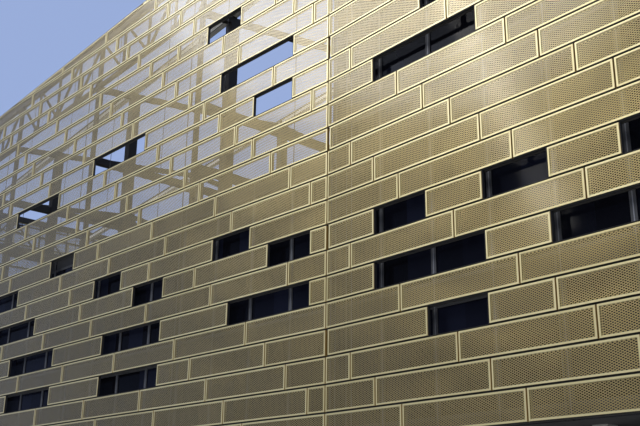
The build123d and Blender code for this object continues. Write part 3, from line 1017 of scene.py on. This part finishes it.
@dataclass
class WindowFrames(Assembly):
    """Black frames on the glass: an upright each side of every mullion, and a head and a sill a storey."""

    depth: Span = (0.222, 0.2395)
    half_width: Span = (0.0105, 0.055)
    rail: float = 0.06
    bevel: float = 0.002

    def build(self) -> None:
        """Make every frame as one piece."""
        for stretch in glass_stretches():
            places = self.mullion_places(stretch)
            for low, high in stretch.storeys:
                for place in places:
                    for span in self.pair(place):
                        self.add_bar(stretch, span, (low + self.rail, high - self.rail))
                for level in (low, high - self.rail):
                    self.add_bar(stretch, (stretch.begin, stretch.end), (level, level + self.rail))
        self.soften(self.bevel)
        self.deliver("window_frames", "hanger_steel", self.finishes.frame)

    def mullion_places(self, stretch: GlassStretch) -> list[float]:
        """Find the mullions before a stretch of glass.

        Args:
            stretch: The stretch.

        Returns:
            Their distances along its wall.
        """
        length, half = LINES[stretch.wall].length, PLAN.module / 2
        steps = [half * step for step in range(1, math.ceil(length / half))]
        if stretch.wall is Wall.FRONT_LEFT:
            steps = [length - step for step in steps]
        margin = self.half_width[1]
        return [place for place in steps if stretch.begin + margin < place < stretch.end - margin]

    def pair(self, place: float) -> tuple[Span, Span]:
        """Where the uprights on both sides of a mullion begin and end."""
        near, far = self.half_width
        return (place - far, place - near), (place + near, place + far)

    def add_bar(self, stretch: GlassStretch, span: Span, levels: Span) -> None:
        """Add one bar, between two distances along the stretch's wall and two levels."""
        low, high = ((distance, depth, level) for distance, depth, level in zip(span, self.depth, levels))
        self.block(low, high, LINES[stretch.wall].matrix())


@dataclass
class GroundGlazing(Assembly):
    """Bars of the recessed ground floor glazing: uprights, sill, head and a transom over the doors."""

    panel: float = 1.25
    width: float = 0.05
    proud: float = 0.03
    setback: float = 0.004
    transom: float = 2.62
    bevel: float = 0.003

    def build(self) -> None:
        """Make the bars of all four sides as one piece."""
        low, high = (Vector(corner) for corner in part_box("ground_front_glass"))
        _, back = (Vector(corner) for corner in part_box("ground_back_glass"))
        doors_low, doors_high = (Vector(corner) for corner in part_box("entrance_doors"))
        corners = [(low.x, low.y), (high.x, low.y), (high.x, back.y), (low.x, back.y)]
        for index, start in enumerate(corners):
            end = corners[(index + 1) % len(corners)]
            line = WallLine(Vector((*start, 0)), Vector((*end, 0)))
            doors = (doors_low.x - low.x, doors_high.x - low.x) if index == 0 else None
            self.add_side(line, (low.z, high.z), doors)
        self.soften(self.bevel, segments=2)
        self.deliver("ground_floor_bars", "door_metal", self.finishes.door)

    def add_side(self, line: WallLine, levels: Span, doors: Span | None) -> None:
        """Add one side's bars.

        Args:
            line: The side's outer face.
            levels: Where the glass begins and ends.
            doors: The stretch that the doors take, or None.
        """
        count = round(line.length / self.panel)
        step = line.length / count
        half = self.width / 2
        places = [min(max(step * index, half), line.length - half) for index in range(count + 1)]
        if doors:
            places = [place for place in places if not doors[0] - half < place < doors[1] + half]
            places += [doors[0] - half, doors[1] + half]
        for place in places:
            self.block((place - half, -self.proud, levels[0]), (place + half, 0, levels[1]), line.matrix())
        places.sort()
        for level in (levels[0], self.transom, levels[1] - self.width):
            for left, right in zip(places, places[1:]):
                if doors and left < sum(doors) / 2 < right and level == levels[0]:
                    continue
                self.block((left + half, self.setback - self.proud, level),
                           (right - half, 0, level + self.width), line.matrix())


@dataclass
class EntranceDoors(Assembly):
    """A pair of glazed leaves: a frame of stiles and rails, a pane, a kick plate and a pull bar."""

    stile: float = 0.09
    kick: float = 0.16
    pane: float = 0.012
    pull: float = 0.014
    pull_length: float = 0.9
    pull_level: float = 0.65
    pull_sides: int = 12
    stems: Span = (-0.4, 0.4)
    stand_off: float = 0.035
    gap: float = 0.01
    bevel: float = 0.003

    def build(self) -> None:
        """Make both leaves in place of their CAD solids."""
        low, high = (Vector(corner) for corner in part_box("entrance_doors"))
        middle = (low.x + high.x) / 2
        for left, right, handle in ((low.x, middle - self.gap / 2, -1), (middle + self.gap / 2, high.x, 1)):
            self.add_leaf(Vector((left, low.y, low.z)), Vector((right, high.y, high.z)))
            self.add_pull(middle + handle * (self.gap / 2 + self.stile / 2), low)
        piece = self.deliver("glazed_doors", "door_metal", self.finishes.door, self.finishes.ground_glass,
                             self.finishes.mullion)
        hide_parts("entrance_doors")

    def add_leaf(self, low: Vector, high: Vector) -> None:
        """Add one leaf's frame, its pane and the plate along its foot.

        Args:
            low: The leaf's lowest corner.
            high: Its highest corner.
        """
        sides = [face for face in faces_of(self.block(low, high)) if abs(face.normal.y) > FACING]
        bmesh.ops.inset_individual(self.shape, faces=sides, thickness=self.stile, use_even_offset=True)
        rims = [edge for face in sides for edge in face.edges]
        bmesh.ops.delete(self.shape, geom=sides, context="FACES_ONLY")
        bmesh.ops.bridge_loops(self.shape, edges=rims)
        middle = (low.y + high.y) / 2
        inner_low = Vector((low.x + self.stile, middle - self.pane / 2, low.z + self.stile))
        inner_high = Vector((high.x - self.stile, middle + self.pane / 2, high.z - self.stile))
        plate_low = Vector((inner_low.x, low.y, inner_low.z))
        plate_high = Vector((inner_high.x, low.y + self.bevel, inner_low.z + self.kick))
        for first, last, finish in ((inner_low, inner_high, PANE), (plate_low, plate_high, METAL)):
            verts = self.block(first, last)
            for face in faces_of(verts):
                face.material_index = finish
        self.soften(self.bevel / 3, edges_of(verts))

    def add_pull(self, x: float, low: Vector) -> None:
        """Add an upright pull bar on two short stems before the leaf.

        Args:
            x: Where the bar stands.
            low: The lowest corner of both leaves.
        """
        middle = low.z + self.pull_level + self.pull_length / 2
        turned = Matrix.Rotation(math.pi / 2, 4, "X")
        parts = [(Matrix.Translation((x, low.y - self.stand_off, middle)), self.pull_length)]
        for reach in self.stems:
            place = Matrix.Translation((x, low.y - self.stand_off / 2, middle + reach * self.pull_length))
            parts.append((place @ turned, self.stand_off))
        for place, depth in parts:
            for face in self.rod(self.pull, depth, self.pull_sides, place):
                face.material_index = METAL
                face.smooth = len(face.verts) == 4


@dataclass
class DeckSteelwork(Assembly):
    """Fittings of the open deck's steel: pale flanges under the ties, whose white paints sunlit strips,
    gussets, base plates and bolts.
    """

    flange_width: float = 0.125
    flange_thick: float = 0.006
    flange_gap: float = 0.002
    leg_height: float = 0.105
    end_gap: float = 0.012
    gusset: Span = (0.26, 0.15)
    gusset_foot: float = 0.02
    gusset_taper: float = 0.45
    chord_half: float = 0.05
    plate: float = 0.012
    base: float = 0.40
    small_base: float = 0.22
    bolt: float = 0.018
    bolt_sides: int = 6
    bolt_reach: float = 0.8
    bevel: float = 0.002

    def build(self) -> None:
        """Make the fittings."""
        self.build_flanges()
        self.build_gussets()
        self.build_bases()

    @property
    def line_places(self) -> list[float]:
        """Where the cross beams stand along the left wing."""
        return [-BAY.length * index for index in range(BAY.lines, 0, -1)]

    def build_flanges(self) -> None:
        """Make pale plates under every tie beam and on its front, from one cross beam to the next; their
        white is painted sunlight.
        """
        ends = [BAY.far_end] + self.line_places + [0.0]
        half, inset = self.flange_width / 2, BAY.beam / 2 + self.end_gap
        for row in (-BAY.row, 0.0, BAY.row):
            face = row - BAY.beam / 2
            for left, right in zip(ends, ends[1:]):
                begin, finish = left + inset, right - inset
                verts = self.block((begin, row - half, -self.flange_thick), (finish, row + half, 0))
                verts += self.block((begin, face - self.flange_thick, self.flange_gap),
                                    (finish, face, self.leg_height))
                for vert in verts:
                    vert.co.z += BAY.beam_level(vert.co.x, row) + BAY.seat
        self.soften(self.bevel)
        self.deliver("tie_flanges_painted_sunlight", "deck_steel", self.finishes.sunlit_flange)

    def build_gussets(self) -> None:
        """Make plates where the girder's bars meet its lower chord, before and behind the bars."""
        width, height = self.gusset
        line = LINES[Wall.FRONT_LEFT]
        step = PLAN.module / 2
        for index in range(1, int(line.length / step)):
            distance = line.length - index * step
            foot = line.top(distance) - BAY.chord_drop + self.chord_half
            for depth in (BAY.post_depth - self.chord_half - self.plate, BAY.post_depth + self.chord_half):
                made = self.block((distance - width / 2, depth, foot - self.gusset_foot),
                                  (distance + width / 2, depth + self.plate, foot + height))
                for vert in made:
                    if vert.co.z > foot:
                        vert.co.x = distance + (vert.co.x - distance) * self.gusset_taper
        bmesh.ops.transform(self.shape, matrix=line.matrix(), verts=self.shape.verts)
        self.soften(self.bevel)
        self.deliver("girder_gussets", "deck_steel", self.finishes.steel)

    def build_bases(self) -> None:
        """Make base plates with four bolts under the columns and the posts of the deck."""
        for x in self.line_places:
            for row in (-BAY.row, 0.0, BAY.row):
                self.add_base(Vector((x, row, BAY.deck)), self.base, Matrix())
        line = LINES[Wall.FRONT_LEFT]
        for index in range(1, BAY.lines + 1):
            place = Vector((line.length - BAY.length * index, BAY.post_depth, BAY.deck))
            self.add_base(place, self.small_base, line.matrix())
        self.deliver("base_plates", "deck_steel", self.finishes.steel, self.finishes.mullion)

    def add_base(self, centre: Vector, size: float, turn: Matrix) -> None:
        """Add one plate and its bolts.

        Args:
            centre: The middle of the plate's underside.
            size: Its width.
            turn: What is applied afterwards.
        """
        half = size / 2
        low, high = centre - Vector((half, half, 0)), centre + Vector((half, half, self.plate))
        self.soften(self.bevel, edges_of(self.block(low, high, turn)))
        reach = half * self.bolt_reach
        for side_x in (-reach, reach):
            for side_y in (-reach, reach):
                top = centre + Vector((side_x, side_y, self.plate + self.bolt / 2))
                place = turn @ Matrix.Translation(top)
                for face in self.rod(self.bolt, self.bolt, self.bolt_sides, place):
                    face.material_index = BOLT


@dataclass(frozen=True)
class Sun:
    """A soft far lamp: its turn and softness in degrees, its strength and its colour."""

    name: str
    turn: Place
    strength: float
    softness: float
    tint: Colour = (1, 1, 1)

    def hang(self) -> None:
        """Add the lamp to the scene."""
        data = bpy.data.lights.new(self.name, "SUN")
        data.energy = self.strength
        data.angle = math.radians(self.softness)
        data.color = self.tint
        add_object(self.name, data).rotation_euler = [math.radians(part) for part in self.turn]


@dataclass
class Studio:
    """Camera, soft lights, pale floor and pale background."""

    place: Place = (12.785, -17.336, 1.6125)
    yaw: float = 0.8754
    pitch: float = 0.3288
    roll: float = 0.0130
    lens: float = 52.56
    sight_reach: float = 400.0
    suns: tuple[Sun, ...] = (
        Sun("key", (52, 0, -43), 1.3, 26, (0.97, 1.0, 1.06)),
        Sun("side", (55, 0, 42), 0.6, 50),
    )
    pale: Colour = (0.32, 0.42, 0.70)
    fill: float = 0.35
    floor_size: float = 140.0
    floor_colour: Colour = (0.72, 0.72, 0.71)
    floor_rough: float = 0.9
    strip_width: float = 3.0
    strip_power: float = 5000.0
    strip_tint: Colour = (1.0, 0.91, 0.72)
    strip_low: Span = (-34.4, 16.0)
    strip_high: Span = (-42.6, 34.5)
    strip_aim: Place = (4.2, -6.5, 8.0)
    strip_distance: float = 85.0

    def build(self) -> None:
        """Set up everything round the building."""
        bpy.context.scene.view_settings.view_transform = "Standard"
        self.add_camera()
        for sun in self.suns:
            sun.hang()
        self.add_strip()
        self.add_floor()
        self.add_world()

    def add_camera(self) -> None:
        """Stand the camera on the pavement, where the photograph was taken."""
        sight = Vector((-math.sin(self.yaw) * math.cos(self.pitch), math.cos(self.yaw) * math.cos(self.pitch),
                        math.sin(self.pitch)))
        level = Vector((math.cos(self.yaw), math.sin(self.yaw), 0))
        upward = level.cross(sight)
        right = math.cos(self.roll) * level + math.sin(self.roll) * upward
        top = -math.sin(self.roll) * level + math.cos(self.roll) * upward
        data = bpy.data.cameras.new("pavement_camera")
        data.lens = self.lens
        data.clip_end = self.sight_reach
        camera = add_object("pavement_camera", data)
        turned = Matrix((right, top, -sight)).transposed().to_4x4()
        camera.matrix_world = Matrix.Translation(self.place) @ turned
        bpy.context.scene.camera = camera

    def strip_end(self, way: Span) -> Vector:
        """Find one end of the strip light.

        Args:
            way: Its azimuth and elevation in degrees, as the screen sees it.

        Returns:
            Its place.
        """
        azimuth, elevation = (math.radians(part) for part in way)
        level = math.cos(elevation)
        towards = Vector((math.sin(azimuth) * level, -math.cos(azimuth) * level, math.sin(elevation)))
        return Vector(self.strip_aim) + towards * self.strip_distance

    def add_strip(self) -> None:
        """Add a long narrow strip light far to the left, whose gleam runs slanting down the screen."""
        low, high = self.strip_end(self.strip_low), self.strip_end(self.strip_high)
        middle = (low + high) / 2
        facing = (middle - Vector(self.strip_aim)).normalized()
        along = (high - low).normalized()
        across = along.cross(facing)
        data = bpy.data.lights.new("strip", "AREA")
        data.shape = "RECTANGLE"
        data.size, data.size_y = self.strip_width, (high - low).length
        data.energy = self.strip_power
        data.color = self.strip_tint
        lamp = add_object("strip", data)
        lamp.matrix_world = Matrix((across, along, facing)).transposed().to_4x4()
        lamp.location = middle
        lamp.visible_camera = False

    def add_floor(self) -> None:
        """Lay the plain floor on which the building stands."""
        shape = bmesh.new()
        bmesh.ops.create_grid(shape, x_segments=1, y_segments=1, size=self.floor_size / 2)
        book = NodeBook(bpy.data.materials.new("studio_floor"))
        finish = book.surface({"Base Color": self.floor_colour, "Roughness": self.floor_rough})
        floor = add_mesh("studio_floor", shape, (finish,))

    def add_world(self) -> None:
        """Give a plain pale background, and a fill light of its own strength."""
        world = bpy.data.worlds.new("studio")
        bpy.context.scene.world = world
        book = NodeBook(world)
        seen = book.node("ShaderNodeLightPath", output="Is Camera Ray")
        for name in ("Is Glossy Ray", "Is Transmission Ray"):
            seen = seen.most(book.node("ShaderNodeLightPath", output=name))
        light = book.node("ShaderNodeBackground", values={"Color": (1, 1, 1), "Strength": self.fill})
        backdrop = book.node("ShaderNodeBackground", values={"Color": self.pale, "Strength": 1.0})
        choice = book.node("ShaderNodeMixShader", values={0: seen, 1: light, 2: backdrop})
        book.node("ShaderNodeOutputWorld", values={"Surface": choice})


def main() -> None:
    """Dress the building, piece by piece."""
    logging.basicConfig(level=logging.INFO, format="%(name)s: %(message)s")
    finishes = Finishes()
    finishes.dress_frame()
    for bond in BONDS:
        CassetteScreen(finishes, bond).build()
    SlotLiners(finishes).build()
    WindowFrames(finishes).build()
    GroundGlazing(finishes).build()
    EntranceDoors(finishes).build()
    DeckSteelwork(finishes).build()
    Studio().build()


if __name__ == "__main__":
    main()
